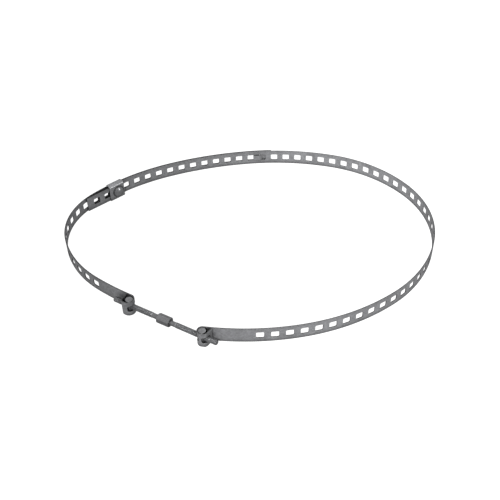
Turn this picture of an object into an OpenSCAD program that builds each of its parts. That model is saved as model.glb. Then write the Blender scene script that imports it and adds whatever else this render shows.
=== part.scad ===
// Transformer strap: an adjustable steel hoop for a pole transformer's tank.
// Two punched flat straps overlap at the back, where a lanced hook on the short strap
// catches a hole of the long one and a bolted clip keeps the long strap's tail.
// At the front each strap ends in a rolled eye round a cross barrel, and one bolt with
// opposite threads and a hexagon in its middle joins the two barrels.
// Millimetres, +Z up, the hoop lying flat with its widest way along X. The origin is
// below the middle of the hoop, at the level of what it lies on.

/* [Strap] */
// Width of both flat straps
strap_w = 25; // [22:1:32]
// Thickness of both straps
strap_t = 1.6; // [1.2:0.1:2]
// Direction in which the long strap leaves its eye, in degrees from +X
start_heading = -10; // [-14:1:-6]
// Radius to which the clamped hoop's bends are scaled, 1 being the hoop as drawn
hoop_scale = 1; // [0.95:0.01:1.05]

/* [Punched holes] */
// Distance from one hole to the next along a strap
hole_pitch = 20.3; // [18:0.1:24]
// Length of a hole along the strap
hole_l = 11; // [9:0.2:12]
// Height of a hole across the strap
hole_h = 10.2; // [10:0.2:12]
// Corner radius of a hole
hole_r = 1.6; // [0.5:0.1:3]
// Place of the long strap's first hole, from where its eye begins
first_hole = 76.6; // [60:0.2:90]
// Plain length of the short strap next to its eye
short_plain = 58; // [46:1:64]

/* [Eyes and barrels] */
// Diameter of the cross barrels
barrel_d = 11; // [10:0.2:11.4]
// Distance of each barrel's ends from the strap's edges
barrel_sink = 0.8; // [0:0.1:2]
// Gap between a barrel and the nose of the eye that it is drawn into
barrel_gap = 0.15; // [0.1:0.05:0.3]
// Inner radius of the long strap's eye at its nose, where the strap turns back
long_nose_r = 5.9; // [5.9:0.1:7]
// Flat stretch behind the nose of the long strap's eye
long_flat = 2.8; // [2:0.2:5]
// Inner radius of the corner where the long strap's eye turns up to its leg
long_corner_r = 4; // [3:0.5:5]
// Angle of that corner, in degrees
long_corner = 64; // [60:1:75]
// Inner radius of the short strap's eye at its nose
short_nose_r = 7.6; // [7.4:0.1:8.6]
// Flat stretch behind the nose of the short strap's eye
short_flat = 1.9; // [1:0.1:4]
// Inner radius of the corner where the short strap's eye turns up to its leg
short_corner_r = 5; // [4:0.2:6]
// Angle of that corner, in degrees
short_corner = 90; // [80:1:90]
// Gap left between the end of an eye's leg and the strap that it comes back to
leg_gap = 0.3; // [0.2:0.1:1]
// Height of the slots that let the bolt through the eyes
slot_h = 10; // [9.6:0.2:12]
// Corner radius of those slots
slot_r = 3; // [2:0.5:4]
// Turn of an eye at which its entry slot begins, in degrees
slot_from = 22; // [15:1:30]
// Turn at which the entry slot of the long strap's eye ends
long_slot_to = 145; // [130:1:150]
// Turn at which the entry slot of the short strap's eye ends
short_slot_to = 157; // [140:1:160]
// Turn at which the exit slot of the long strap's eye begins
long_exit_turn = 180; // [180:1:190]
// Turn at which the exit slot of the short strap's eye begins
short_exit_turn = 237; // [210:1:245]
// Length of the long strap's leg left whole past its exit slot
long_leg_rest = 4.6; // [3:0.2:6]
// Length of the short strap's leg left whole past its exit slot
short_leg_rest = 2.7; // [2:0.1:4]

/* [Tension bolt] */
// Diameter of the tension bolt over its threads
bolt_d = 8; // [7:0.5:8]
// Radial running clearance of the tension bolt in a barrel
bolt_gap = 0.05; // [0.02:0.01:0.1]
// Length of each end of the tension bolt past the middle of its barrel
bolt_past = 25; // [20:0.5:32]
// Distance of the hexagon from the middle between the barrels, towards the left one
bolt_shift = 1.5; // [0:0.5:4]
// Diameter of the plain shank beside the hexagon
shank_d = 7.2; // [6.5:0.1:7.4]
// Length of the plain shank on each side of the hexagon
shank_l = 9; // [4:0.5:14]
// Width across the flats of the hexagon in the middle
hex_af = 13; // [12:0.5:15]
// Length of the hexagon
hex_l = 20; // [16:1:26]
// Depth of the chamfer on the corners of the hexagon's ends
hex_chamfer = 1.2; // [0.6:0.1:1.6]
// Chamfer on the ends of the tension bolt
end_chamfer = 1; // [0.5:0.1:1.5]

/* [Overlap] */
// Number of the long strap's hole that the hook catches, the first one being 0
hook_hole = 37; // [36:1:38]
// Number of the hole that takes the clip's bolt
clip_hole = 50; // [46:1:50]
// Gap between the two straps where they overlap
lap_gap = 0.1; // [0.05:0.05:0.3]
// Length of the long strap past its last hole
tail_end = 17.5; // [12:0.5:20]
// Length of the hook that lies on the long strap's inner face
hook_l = 10.5; // [8:0.5:12]
// Height of the hook
hook_h = 9.4; // [8:0.2:9.6]
// Length of the short strap past the root of its hook
hook_back = 14; // [10:1:18]

/* [Clip] */
// Length of the clip along the straps
clip_l = 27; // [24:1:30]
// Distance from the clip's bolt to the middle of its length, towards the tail's end
clip_shift = 2; // [0:0.5:3]
// Thickness of the clip's sheet
clip_t = 1.6; // [1.2:0.1:2]
// Gap between the clip's flanges and the strap edges
clip_gap = 0.3; // [0.2:0.1:0.6]
// Outer radius of the clip's bends
clip_r = 3; // [2:0.2:4]
// Diameter of the clip bolt
clip_bolt_d = 8; // [6:0.5:8]
// Diameter of the clip bolt's domed head
head_d = 20.6; // [18:0.2:22]
// Height of the clip bolt's domed head
head_h = 4.9; // [4:0.1:6]
// Height of the square neck under the head
neck_h = 4; // [3:0.2:5]
// Gap round the square neck in the clip
neck_gap = 0.2; // [0.1:0.05:0.3]
// Radial gap between the clip bolt and its nut's bore
thread_gap = 0.05; // [0.02:0.01:0.1]
// Width of the nut across its flats
nut_af = 13; // [12:0.5:14]
// Height of the flanged nut
nut_h = 8; // [7:0.2:9]
// Diameter of the nut's flange
nut_flange_d = 18; // [17:0.2:20]
// Length of the clip bolt past its nut
clip_bolt_past = 4; // [2:0.5:6]

/* [Hidden] */
$fn = 96;
// Extra reach of a cut past the surface that it leaves
cut = 1;
// Largest step along a wide bend and along a tight one, in degrees
wide_step = 2;
tight_step = 7.5;

// Bends of the hoop line, which the long strap has on its inside and the short one on
// its outside, from the right eye round the back to the left eye: [radius, angle]
hoop_bends = [for (b = [[370, 22], [313, 26], [210, 38], [169.5, 48], [210, 39],
                        [359, 22], [492, 17], [328, 25], [112.6, 60], [173, 34], [432, 8.9]])
              [b[0] * hoop_scale, b[1]]];

// A path is a list of [radius, angle] bends, to the left with a positive radius and angle
// and to the right with a negative one, and of [0, length] straights.
function piece_length(b) = b[0] == 0 ? b[1] : b[0] * b[1] * PI / 180;
function turned(b, u) = b[0] == 0 ? 0 : u / b[0] * 180 / PI;

// The pose [x, y, heading] at a length u along one piece that starts at pose p
function along(p, b, u) =
    b[0] == 0
    ? [p[0] + u * cos(p[2]), p[1] + u * sin(p[2]), p[2]]
    : let (h = p[2] + turned(b, u))
      [p[0] + b[0] * (sin(h) - sin(p[2])), p[1] - b[0] * (cos(h) - cos(p[2])), h];

// The start poses of all pieces of a path, and the pose at its end
function poses(p, path, i = 0) =
    i == len(path)
    ? [p]
    : concat([p], poses(along(p, path[i], piece_length(path[i])), path, i + 1));

// The stations where the pieces begin, and the path's whole length
function stations(path, s = 0, i = 0) =
    i == len(path) ? [s] : concat([s], stations(path, s + piece_length(path[i]), i + 1));
function path_length(path) = stations(path)[len(path)];

// The first s millimetres of a path, and what follows them
function head_of(path, s, i = 0) =
    let (l = i < len(path) ? piece_length(path[i]) : 0)
    i == len(path) || s <= 0
    ? []
    : s >= l
      ? concat([path[i]], head_of(path, s - l, i + 1))
      : [path[i][0] == 0 ? [0, s] : [path[i][0], turned(path[i], s)]];
function rest_of(path, s, i = 0) =
    let (l = i < len(path) ? piece_length(path[i]) : 0)
    i == len(path)
    ? []
    : s >= l
      ? rest_of(path, s - l, i + 1)
      : concat([path[i][0] == 0 ? [0, l - s] : [path[i][0], path[i][1] - turned(path[i], s)]],
               [for (j = [i + 1 : 1 : len(path) - 1]) path[j]]);
function stretch(path, from, to) = head_of(rest_of(path, from), to - from);
function reversed(list) = [for (i = [len(list) - 1 : -1 : 0]) list[i]];

// The pose at a station
function piece_at(st, s, i = 0) = i + 2 >= len(st) || s < st[i + 1] ? i : piece_at(st, s, i + 1);
function pose_at(p, path, s) =
    let (st = stations(path), i = piece_at(st, s), ps = poses(p, path))
    along(ps[i], path[i], s - st[i]);
// A point beside a pose, by a distance to the outside of the hoop
function outside(p, d) = [p[0] + d * sin(p[2]), p[1] - d * cos(p[2])];

// Poses all along a path, close enough together for its bends to read as round
function steps(b) =
    b[0] == 0 ? 1 : ceil(abs(b[1]) / (abs(b[0]) > strap_w * 2 ? wide_step : tight_step));
function trace(p, path) =
    let (ps = poses(p, path))
    concat([for (i = [0 : len(path) - 1], n = steps(path[i]), k = [0 : n - 1])
                along(ps[i], path[i], piece_length(path[i]) * k / n)],
           [ps[len(path)]]);

// The hoop line in the plan, before it is centred over the origin, in bends so short
// that both straps are drawn through the same points
hoop_line = [for (b = hoop_bends, k = [1 : steps(b)]) [b[0], b[1] / steps(b)]];
line_start = [0, 0, start_heading];
line_length = path_length(hoop_line);
line_end = pose_at(line_start, hoop_line, line_length);
// How far a point lies to the inside of the straight line through a pose
function inside(p, q) = (q[1] - p[1]) * cos(p[2]) - (q[0] - p[0]) * sin(p[2]);
function hole_station(k) = first_hole + k * hole_pitch;

// The long strap's tail leaves the line where it enters the clip, bends in to the clip's
// web and runs straight from there until its end rests on the short strap
tail_bend_r = 40;
tail_bend_in = 20;
tail_bend_back = 15;
tail_slant = 5;
tail_lead = 22.5;
tail_holes = 2;
tail_start = hole_station(clip_hole) - tail_lead;
tail_bends = [[tail_bend_r, tail_bend_in], [0, tail_slant], [-tail_bend_r, -tail_bend_back]];
tail_straight_at = tail_start + path_length(tail_bends);
long_length = hole_station(clip_hole + tail_holes) + tail_end;
long_hoop = concat(head_of(hoop_line, tail_start), tail_bends,
                   [[0, long_length - tail_straight_at]]);

// Heights: the clip's lower flange lies on the ground and the straps stand above it
strap_z = clip_t + clip_gap;
mid_z = strap_z + strap_w / 2;

// Eyes: a strap turns back to the outside round its nose, runs flat, and a corner turns
// it up into a straight leg, whose end comes back to the strap's outer face
function eye_leg(r, corner_r, corner) =
    (2 * r - corner_r * (1 - cos(corner)) - leg_gap) / sin(corner);
function eye_bends(r, flat, corner_r, corner, off) =
    [[-r - off, -180], [0, flat], [-corner_r - off, -corner],
     [0, eye_leg(r, corner_r, corner)]];
short_off = lap_gap + strap_t;
long_eye = eye_bends(long_nose_r, long_flat, long_corner_r, long_corner, 0);
short_eye = eye_bends(short_nose_r, short_flat, short_corner_r, short_corner, short_off);
// The length of an eye up to a turn
function eye_station(eye, turn) =
    turn <= 180
    ? piece_length(eye[0]) * turn / 180
    : piece_length(eye[0]) + eye[1][1] + piece_length(eye[2]) * (180 - turn) / eye[2][1];
// The pose at the far end of a path that leads backwards to a pose
function back_along(p, path, i = 0) =
    i == len(path) ? p : back_along(along(p, path[i], -piece_length(path[i])), path, i + 1);
// The long strap from the end of its leg
long_leg_end = back_along(line_start, long_eye);
long_path = concat(reversed(long_eye), long_hoop);
long_eye_l = path_length(long_eye);
short_eye_l = path_length(short_eye);
short_last_hole = floor((line_length - short_plain - first_hole) / hole_pitch);

// Each barrel lies in the nose of its eye, on the side of the other barrel
long_nose = outside(line_start, long_nose_r);
short_nose = outside(line_end, short_off + short_nose_r);
bolt_way = (long_nose - short_nose) / norm(long_nose - short_nose);
long_barrel = long_nose - (long_nose_r - barrel_d / 2 - barrel_gap) * bolt_way;
short_barrel = short_nose + (short_nose_r - barrel_d / 2 - barrel_gap) * bolt_way;

// Hook: a tongue cut free on three sides in the short strap, bent inwards through a hole
// of the long strap and laid flat on its inner face
hook_gap = 0.2;
hook_bend = 35;
hook_r_in = 1;
hook_r_out = hook_r_in + strap_t + lap_gap;
hook_step = lap_gap + 2 * strap_t + hook_gap;
hook_reach = (hook_r_in + hook_r_out) * tan(hook_bend / 2) + hook_step / tan(hook_bend);
hook_root = hole_station(hook_hole) + hole_l / 2 - hook_reach - hook_gap;
hook_foot = pose_at(line_start, hoop_line, hook_root);
hook_seat = pose_at(line_start, hoop_line, hook_root + hook_reach + hook_l / 2);
hook_turn = hook_seat[2] - hook_foot[2];
hook_slope = (inside(hook_foot, hook_seat) + hook_step * cos(hook_turn)
              - hook_r_in * (1 - cos(hook_bend))
              - hook_r_out * (cos(hook_turn) - cos(hook_bend))
              - hook_l / 2 * sin(hook_turn)) / sin(hook_bend);
hook_path = [[hook_r_in, hook_bend], [0, hook_slope],
             [-hook_r_out, hook_turn - hook_bend], [0, hook_l]];
window_end = hook_root + path_length(hook_path);
window_h = hook_h + 2 * hook_gap;

// The short strap from its free end to its leg, whole and round the hook's window
short_first = hook_root - hook_back;
short_start = pose_at(line_start, hoop_line, short_first);
short_path = concat(rest_of(hoop_line, short_first), short_eye);
before_hook = head_of(rest_of(hoop_line, short_first), hook_back);
after_hook = concat(rest_of(hoop_line, window_end), short_eye);

// Tension bolt between the middles of the two barrels
bolt_dir = atan2(bolt_way[1], bolt_way[0]);
bolt_mid = (long_barrel + short_barrel) / 2 - bolt_shift * bolt_way;
bolt_l = norm(long_barrel - short_barrel) + 2 * bolt_past;

// The clip's web stands against the inner face of the long strap's straight tail, and
// its bolt passes the middle of a hole beside the line that the tail runs along
tail_pose = pose_at(line_start, long_hoop, tail_straight_at);
clip_heading = tail_pose[2];
tail_way = [cos(clip_heading), sin(clip_heading)];
long_at_clip = pose_at(line_start, long_hoop, hole_station(clip_hole));
past_bolt = ([tail_pose[0], tail_pose[1]] - [long_at_clip[0], long_at_clip[1]]) * tail_way;
clip_foot = along(tail_pose, [0, 1], -past_bolt);
// Distance from the tail's outer face to the short strap's outer face under the nut
nut_seat = hole_station(clip_hole) - nut_flange_d / 2;
stack = max([for (u = [0 : 0.5 : nut_flange_d])
             -inside(clip_foot, outside(pose_at(line_start, hoop_line, nut_seat + u),
                                        short_off))]);
seat_gap = 0.05;
clip_depth = clip_t + seat_gap + strap_t + stack;
clip_h = strap_w + 2 * strap_z;
// Inner side of the clip's web, under the bolt's head
web_y = strap_t + seat_gap + clip_t;
clip_bolt_l = clip_depth + 2 * seat_gap + nut_h + clip_bolt_past;

// Middle of the hoop, which comes to stand over the origin
line_points = [for (p = trace(line_start, hoop_line)) outside(p, 0)];
short_points = [for (p = trace(line_start, hoop_line)) outside(p, short_off)];
eye_points = [for (p = trace(long_leg_end, reversed(long_eye))) outside(p, -strap_t)];
bolt_tip = bolt_mid + bolt_l / 2 * [cos(bolt_dir), sin(bolt_dir)];
x_low = min([for (q = short_points) q[0]]);
x_high = max([for (q = line_points) q[0]]);
y_high = max([for (q = short_points) q[1]]);
y_low = min(min([for (q = eye_points) q[1]]),
            bolt_tip[1] - (bolt_d / 2 - end_chamfer) * cos(bolt_dir),
            bolt_tip[1] - bolt_d / 2 * cos(bolt_dir) - end_chamfer * sin(bolt_dir));
centre = [(x_low + x_high) / 2, (y_low + y_high) / 2];

// A flat strip standing along a path, between two offsets to the outside
module strip(p, path, from, to, z, h) {
    t = trace(p, path);
    points = concat([for (q = t) outside(q, from) - centre],
                    [for (i = [len(t) - 1 : -1 : 0]) outside(t[i], to) - centre]);
    translate([0, 0, z]) linear_extrude(h) polygon(points);
}

// Everything placed in the frame of a pose of the hoop's plan
module at_pose(p) {
    translate([p[0] - centre[0], p[1] - centre[1], 0]) rotate([0, 0, p[2]]) children();
}

// A round-cornered hole punched through a strap that passes the origin along X
module punched_hole(reach) {
    translate([0, reach, mid_z])
        rotate([90, 0, 0])
            linear_extrude(2 * reach) {
                square([hole_l, hole_h - 2 * hole_r], center = true);
                square([hole_l - 2 * hole_r, hole_h], center = true);
                for (x = [-1, 1], y = [-1, 1])
                    translate([x * (hole_l / 2 - hole_r), y * (hole_h / 2 - hole_r)])
                        circle(hole_r);
            }
}

module punched_row(path, from, to) {
    for (k = [from : to])
        at_pose(pose_at(line_start, path, hole_station(k))) punched_hole(3 * strap_t);
}

// A round-cornered slot between two stations of a path, through a sheet that lies between
// two offsets
module slot(p, path, from, to, inner, outer) {
    low_h = slot_h - 2 * slot_r;
    strip(pose_at(p, path, from), stretch(path, from, to), inner - cut, outer + cut,
          mid_z - low_h / 2, low_h);
    strip(pose_at(p, path, from + slot_r), stretch(path, from + slot_r, to - slot_r),
          inner - cut, outer + cut, mid_z - slot_h / 2, slot_h);
    for (s = [from + slot_r, to - slot_r], z = [-low_h / 2, low_h / 2])
        at_pose(pose_at(p, path, s))
            translate([0, cut - inner, mid_z + z])
                rotate([90, 0, 0]) cylinder(r = slot_r, h = outer - inner + 2 * cut);
}

module long_strap() {
    color("#8d8f91")
        difference() {
            strip(long_leg_end, long_path, -strap_t, 0, strap_z, strap_w);
            slot(long_leg_end, long_path, long_eye_l - eye_station(long_eye, long_slot_to),
                 long_eye_l - eye_station(long_eye, slot_from), -strap_t, 0);
            slot(long_leg_end, long_path, long_leg_rest,
                 long_eye_l - eye_station(long_eye, long_exit_turn), -strap_t, 0);
            punched_row(long_hoop, 0, clip_hole + tail_holes);
        }
}

// A layer of the short strap between two heights, on one or two stretches of its path
module short_layer(z, h, stretches) {
    for (q = stretches)
        strip(pose_at(line_start, hoop_line, q[0]), q[1], lap_gap, short_off, z, h);
}

module short_strap() {
    side_h = (strap_w - window_h) / 2;
    whole = [[short_first, short_path]];
    clear = [[short_first, before_hook], [window_end, after_hook]];
    hooked = [[short_first, concat(before_hook, hook_path)], [window_end, after_hook]];
    color("#8d8f91")
        difference() {
            union() {
                short_layer(strap_z, side_h, whole);
                short_layer(strap_z + side_h, hook_gap, clear);
                short_layer(mid_z - hook_h / 2, hook_h, hooked);
                short_layer(mid_z + hook_h / 2, hook_gap, clear);
                short_layer(mid_z + window_h / 2, side_h, whole);
            }
            slot(line_end, short_eye, eye_station(short_eye, slot_from),
                 eye_station(short_eye, short_slot_to), lap_gap, short_off);
            slot(line_end, short_eye, eye_station(short_eye, short_exit_turn),
                 short_eye_l - short_leg_rest, lap_gap, short_off);
            punched_row(hoop_line, hook_hole + 1, short_last_hole);
        }
}

// A cross barrel standing at the origin, the bolt passing it along X
module barrel() {
    difference() {
        translate([0, 0, strap_z + barrel_sink])
            cylinder(d = barrel_d, h = strap_w - 2 * barrel_sink);
        translate([-barrel_d, 0, mid_z])
            rotate([0, 90, 0]) cylinder(r = bolt_d / 2 + bolt_gap, h = 2 * barrel_d);
    }
}

module right_barrel() {
    color("#a3a5a7") at_pose(concat(long_barrel, bolt_dir)) barrel();
}

module left_barrel() {
    color("#a3a5a7") at_pose(concat(short_barrel, bolt_dir)) barrel();
}

// A hexagon along Z from the origin, its end corners turned off at one or both ends
module hexagon(af, h, chamfer, both) {
    corner = af / cos(30);
    intersection() {
        cylinder(d = corner, h = h, $fn = 6);
        rotate_extrude()
            polygon([[0, 0], [corner / 2 - (both ? chamfer : 0), 0],
                     [corner / 2, both ? chamfer * tan(30) : 0],
                     [corner / 2, h - chamfer * tan(30)], [corner / 2 - chamfer, h], [0, h]]);
    }
}

// The bolt turns about its own axis in both barrels, its shank thinner next to the
// hexagon, where it has no thread
module tension_bolt() {
    thread_r = bolt_d / 2;
    step = thread_r - shank_d / 2;
    bare = hex_l / 2 + shank_l;
    color("#97999b")
        at_pose(concat(bolt_mid, bolt_dir))
            translate([0, 0, mid_z])
                rotate([0, 90, 0]) {
                    rotate_extrude()
                        polygon([[0, -bolt_l / 2], [thread_r - end_chamfer, -bolt_l / 2],
                                 [thread_r, end_chamfer - bolt_l / 2],
                                 [thread_r, -bare - step], [shank_d / 2, -bare],
                                 [shank_d / 2, bare], [thread_r, bare + step],
                                 [thread_r, bolt_l / 2 - end_chamfer],
                                 [thread_r - end_chamfer, bolt_l / 2], [0, bolt_l / 2]]);
                    translate([0, 0, -hex_l / 2]) hexagon(hex_af, hex_l, hex_chamfer, true);
                }
}

// The clip is a channel, its web inside the hoop and its flanges over both strap edges
module clip_profile() {
    difference() {
        union() {
            translate([clip_r, 0]) square([clip_depth - clip_r, clip_h]);
            translate([0, clip_r]) square([clip_r, clip_h - 2 * clip_r]);
            translate([clip_r, clip_r]) circle(clip_r);
            translate([clip_r, clip_h - clip_r]) circle(clip_r);
        }
        translate([clip_t, clip_t]) square([clip_depth, clip_h - 2 * clip_t]);
    }
}

// In the clip's frame X runs along the straps, Y to the inside of the hoop, and the
// straight tail's outer face lies at Y 0
module buckle_clip() {
    hole = clip_bolt_d + 2 * neck_gap;
    color("#9b9d9f")
        at_pose(clip_foot)
            difference() {
                translate([clip_shift + clip_l / 2, web_y, 0])
                    rotate([90, 0, -90]) linear_extrude(clip_l) clip_profile();
                translate([0, web_y - clip_t / 2, mid_z])
                    cube([hole, 2 * clip_t, hole], center = true);
            }
}

module clip_bolt() {
    dome_r = (head_d * head_d / 4 + head_h * head_h) / (2 * head_h);
    color("#9fa1a3")
        at_pose(clip_foot)
            translate([0, web_y + seat_gap, mid_z])
                rotate([90, 0, 0]) {
                    translate([-clip_bolt_d / 2, -clip_bolt_d / 2, 0])
                        cube([clip_bolt_d, clip_bolt_d, neck_h]);
                    cylinder(d = clip_bolt_d, h = clip_bolt_l);
                    intersection() {
                        translate([0, 0, dome_r - head_h]) sphere(dome_r);
                        translate([0, 0, -head_h]) cylinder(d = head_d, h = head_h);
                    }
                }
}

module clip_nut() {
    flange_h = 1.5;
    color("#9fa1a3")
        at_pose(clip_foot)
            translate([0, -stack - seat_gap, mid_z])
                rotate([90, 0, 0])
                    difference() {
                        union() {
                            cylinder(d = nut_flange_d, h = flange_h);
                            hexagon(nut_af, nut_h, hex_chamfer, false);
                        }
                        translate([0, 0, -cut])
                            cylinder(r = clip_bolt_d / 2 + thread_gap, h = nut_h + 2 * cut);
                    }
}

long_strap();
short_strap();
right_barrel();
left_barrel();
tension_bolt();
buckle_clip();
clip_bolt();
clip_nut();
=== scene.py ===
# %% [markdown]
# # Transformer strap
# This lesson dresses an adjustable steel hoop, which clamps the tank of a transformer.
# Two punched straps overlap at the back, a clip holds the free end of the long one, and
# a bolt at the front draws their two eyes together. The solids come from the CAD model,
# in metres, with the hoop lying flat. Blender gives them what a drawing leaves out:
# rounded edges, the lips that a punch leaves, threads, a galvanised skin, a pale studio
# and the photographer's place. The CAD solids are never moved, so each new piece takes
# its place from the same numbers as they do.

import math

import bmesh
import bpy
import numpy as np
from mathutils import Matrix, Vector


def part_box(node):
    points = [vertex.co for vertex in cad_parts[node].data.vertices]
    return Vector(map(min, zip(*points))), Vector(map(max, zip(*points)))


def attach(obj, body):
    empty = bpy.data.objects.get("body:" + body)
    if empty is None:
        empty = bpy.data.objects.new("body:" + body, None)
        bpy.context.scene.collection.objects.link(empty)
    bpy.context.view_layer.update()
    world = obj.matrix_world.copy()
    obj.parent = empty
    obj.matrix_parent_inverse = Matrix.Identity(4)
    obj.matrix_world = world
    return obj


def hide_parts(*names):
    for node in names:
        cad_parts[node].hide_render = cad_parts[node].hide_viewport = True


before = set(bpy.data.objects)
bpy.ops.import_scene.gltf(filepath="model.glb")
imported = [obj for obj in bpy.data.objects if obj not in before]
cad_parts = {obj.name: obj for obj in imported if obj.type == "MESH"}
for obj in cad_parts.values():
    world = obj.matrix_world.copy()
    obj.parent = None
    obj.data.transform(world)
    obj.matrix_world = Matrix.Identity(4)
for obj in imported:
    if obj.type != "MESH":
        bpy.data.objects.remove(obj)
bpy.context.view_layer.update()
MM = 0.001

# %% [markdown]
# ## Camera
# The photograph looks down on the hoop at about 41 degrees, from its front, with a
# slight roll. An orbit camera says this plainly: a point to look at, a distance, an
# elevation and a roll. The distance and the lens were found from the way the far side
# of the hoop shrinks.

# %% Camera
AIM = Vector((0.00048, -0.01545, 0.00242))
DISTANCE = 1.2028
ELEVATION = math.radians(41.548)
ROLL = math.radians(-0.973)
LENS_MM, SENSOR_MM = 56.65, 36
NEAREST, FARTHEST = 0.05, 100


def orbit_camera(aim, distance, elevation, roll):
    """The camera's matrix: its place on a circle round aim, and its three directions.
    Forward is (0, cos e, -sin e), and right and up turn about it by the roll."""
    forward = Vector((0, math.cos(elevation), -math.sin(elevation)))
    level = Vector((1, 0, 0))
    up = level.cross(forward)
    right = level * math.cos(roll) + up * math.sin(roll)
    up = right.cross(forward)
    turn = Matrix((right, up, -forward)).transposed().to_4x4()
    return Matrix.Translation(aim - forward * distance) @ turn


camera = bpy.data.objects.new("camera", bpy.data.cameras.new("camera"))
bpy.context.scene.collection.objects.link(camera)
camera.data.lens = LENS_MM
camera.data.sensor_width = SENSOR_MM
camera.data.sensor_fit = "HORIZONTAL"
camera.data.clip_start = NEAREST
camera.data.clip_end = FARTHEST
camera.data.dof.use_dof = False
camera.matrix_world = orbit_camera(AIM, DISTANCE, ELEVATION, ROLL)
bpy.context.scene.camera = camera
print("camera at", [round(v, 4) for v in camera.matrix_world.translation])

# %% [markdown]
# ## Studio floor
# A catalogue picture has a white floor without shadows, yet the undersides of the object
# are dark, because it stood on something darker and was cut out. Here the floor is a
# glowing sheet that the camera sees, and its ray settings keep its glow off the hoop.
# It is wide enough for its far edge to be a level line in views from low down. The
# standard view keeps white white.

# %% Floor
FLOOR_HALF = 40.0
FLOOR_GREY, FLOOR_GLOW = 0.1, 0.98


def lit_paper(name, grey, glow):
    """A plain matt surface with an even glow of its own, for the stage alone."""
    made = bpy.data.materials.new(name)
    made.use_nodes = True
    shader = made.node_tree.nodes["Principled BSDF"]
    shader.inputs["Base Color"].default_value = (grey, grey, grey, 1)
    shader.inputs["Roughness"].default_value = 1.0
    shader.inputs["Emission Color"].default_value = (1, 1, 1, 1)
    shader.inputs["Emission Strength"].default_value = glow
    return made


def floor_plane(half, z):
    """Four corners and one face, at the level of what the hoop lies on."""
    mesh = bpy.data.meshes.new("floor")
    corners = [(-half, -half, z), (half, -half, z), (half, half, z), (-half, half, z)]
    mesh.from_pydata(corners, [], [(0, 1, 2, 3)])
    mesh.materials.append(lit_paper("light_table", FLOOR_GREY, FLOOR_GLOW))
    floor = bpy.data.objects.new("floor", mesh)
    bpy.context.scene.collection.objects.link(floor)
    floor.visible_diffuse = False
    floor.visible_glossy = False


floor_plane(FLOOR_HALF, 0.0)
bpy.context.scene.view_settings.view_transform = "Standard"
print("floor at z = 0, side", 2 * FLOOR_HALF, "m")

# %% [markdown]
# ## Studio light
# A pale world fills in from all round, and a soft box overhead lights the upper faces.
# One broad spot from the front lights the middle and the right, where the photograph is
# brightest, and fades towards the left. A narrow strip low on the right makes the
# glints and adds nothing else, and a box at the rear serves only views from behind.

# %% World
WORLD_STRENGTH = 0.48
world = bpy.data.worlds.new("studio")
bpy.context.scene.world = world
world.use_nodes = True
background = world.node_tree.nodes["Background"]
background.inputs["Color"].default_value = (1, 1, 1, 1)
background.inputs["Strength"].default_value = WORLD_STRENGTH
print("world: white at", WORLD_STRENGTH)


# %% Lamps
def hang(data, place, aim, power):
    """A lamp at a place, turned towards a point."""
    light = bpy.data.objects.new(data.name, data)
    data.energy = power
    bpy.context.scene.collection.objects.link(light)
    light.location = place
    view = Vector(aim) - Vector(place)
    light.rotation_euler = view.to_track_quat("-Z", "Y").to_euler()
    return light


def broad_spot(place, aim, opening, radius, power):
    """A spot with a wide lamp and a fully soft edge, its opening in degrees."""
    data = bpy.data.lights.new("key", "SPOT")
    data.spot_size = math.radians(opening)
    data.spot_blend = 1.0
    data.shadow_soft_size = radius
    return hang(data, place, aim, power)


def soft_box(name, place, aim, sides, power):
    """A rectangular lamp."""
    data = bpy.data.lights.new(name, "AREA")
    data.shape = "RECTANGLE"
    data.size, data.size_y = sides
    return hang(data, place, aim, power)


key = broad_spot((-0.3, -1.8, 1.7), (0.22, 0.08, 0.0), 24, 0.3, 800)
overhead = soft_box("overhead", (-0.1, 0.25, 1.6), (0, 0, 0), (1.3, 1.3), 12)
rear = soft_box("rear", (0.0, 2.6, 0.8), (0, 0, 0), (1.0, 1.0), 70)
rear.visible_glossy = False
strip = soft_box("strip", (2.1, -1.0, 0.5), (-0.2, 0.1, 0), (0.5, 1.2), 45)
strip.visible_diffuse = False
for lamp in (key, overhead, rear, strip):
    place = tuple(round(v, 2) for v in lamp.location)
    print(lamp.name, "at", place, "with", lamp.data.energy, "W")

# %% [markdown]
# ## Meshes from arrays
# Every new piece is a grid of points: so many rows, so many columns. The faces of a grid
# are always the same four neighbours, so one small function lists them for all pieces.
# A grid may close on itself, as a tube does round its axis.


# %% Faces of a grid
def grid_faces(rows, columns, close_rows=False, close_columns=False):
    """Four-sided faces of a grid: each point, its neighbour in the row, and the two
    points beside them in the next row."""
    i = np.arange(rows if close_rows else rows - 1)[:, None]
    j = np.arange(columns if close_columns else columns - 1)[None, :]
    next_i, next_j = (i + 1) % rows, (j + 1) % columns
    return np.stack([i * columns + j, i * columns + next_j,
                     next_i * columns + next_j, next_i * columns + j], -1).reshape(-1, 4)


print("a grid of 3 by 4 points:", len(grid_faces(3, 4)), "faces when open,",
      len(grid_faces(3, 4, close_columns=True)), "as a tube")

# %% [markdown]
# A piece is smooth but for the edges that bend by more than an angle. The Weighted
# Normal modifier lets wide faces keep their own direction, so that a rounded edge shades
# as round and the flat beside it stays flat. Each piece may carry one more number for
# each point, which the finish reads as painted shade and a duller skin.

# %% New pieces
STRAP_SHARP, BOLT_SHARP = 40, 35


def even_faces(piece):
    """Let the widest faces at an edge decide how it shades."""
    normals = piece.modifiers.new("even_faces", "WEIGHTED_NORMAL")
    normals.keep_sharp = True


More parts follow.
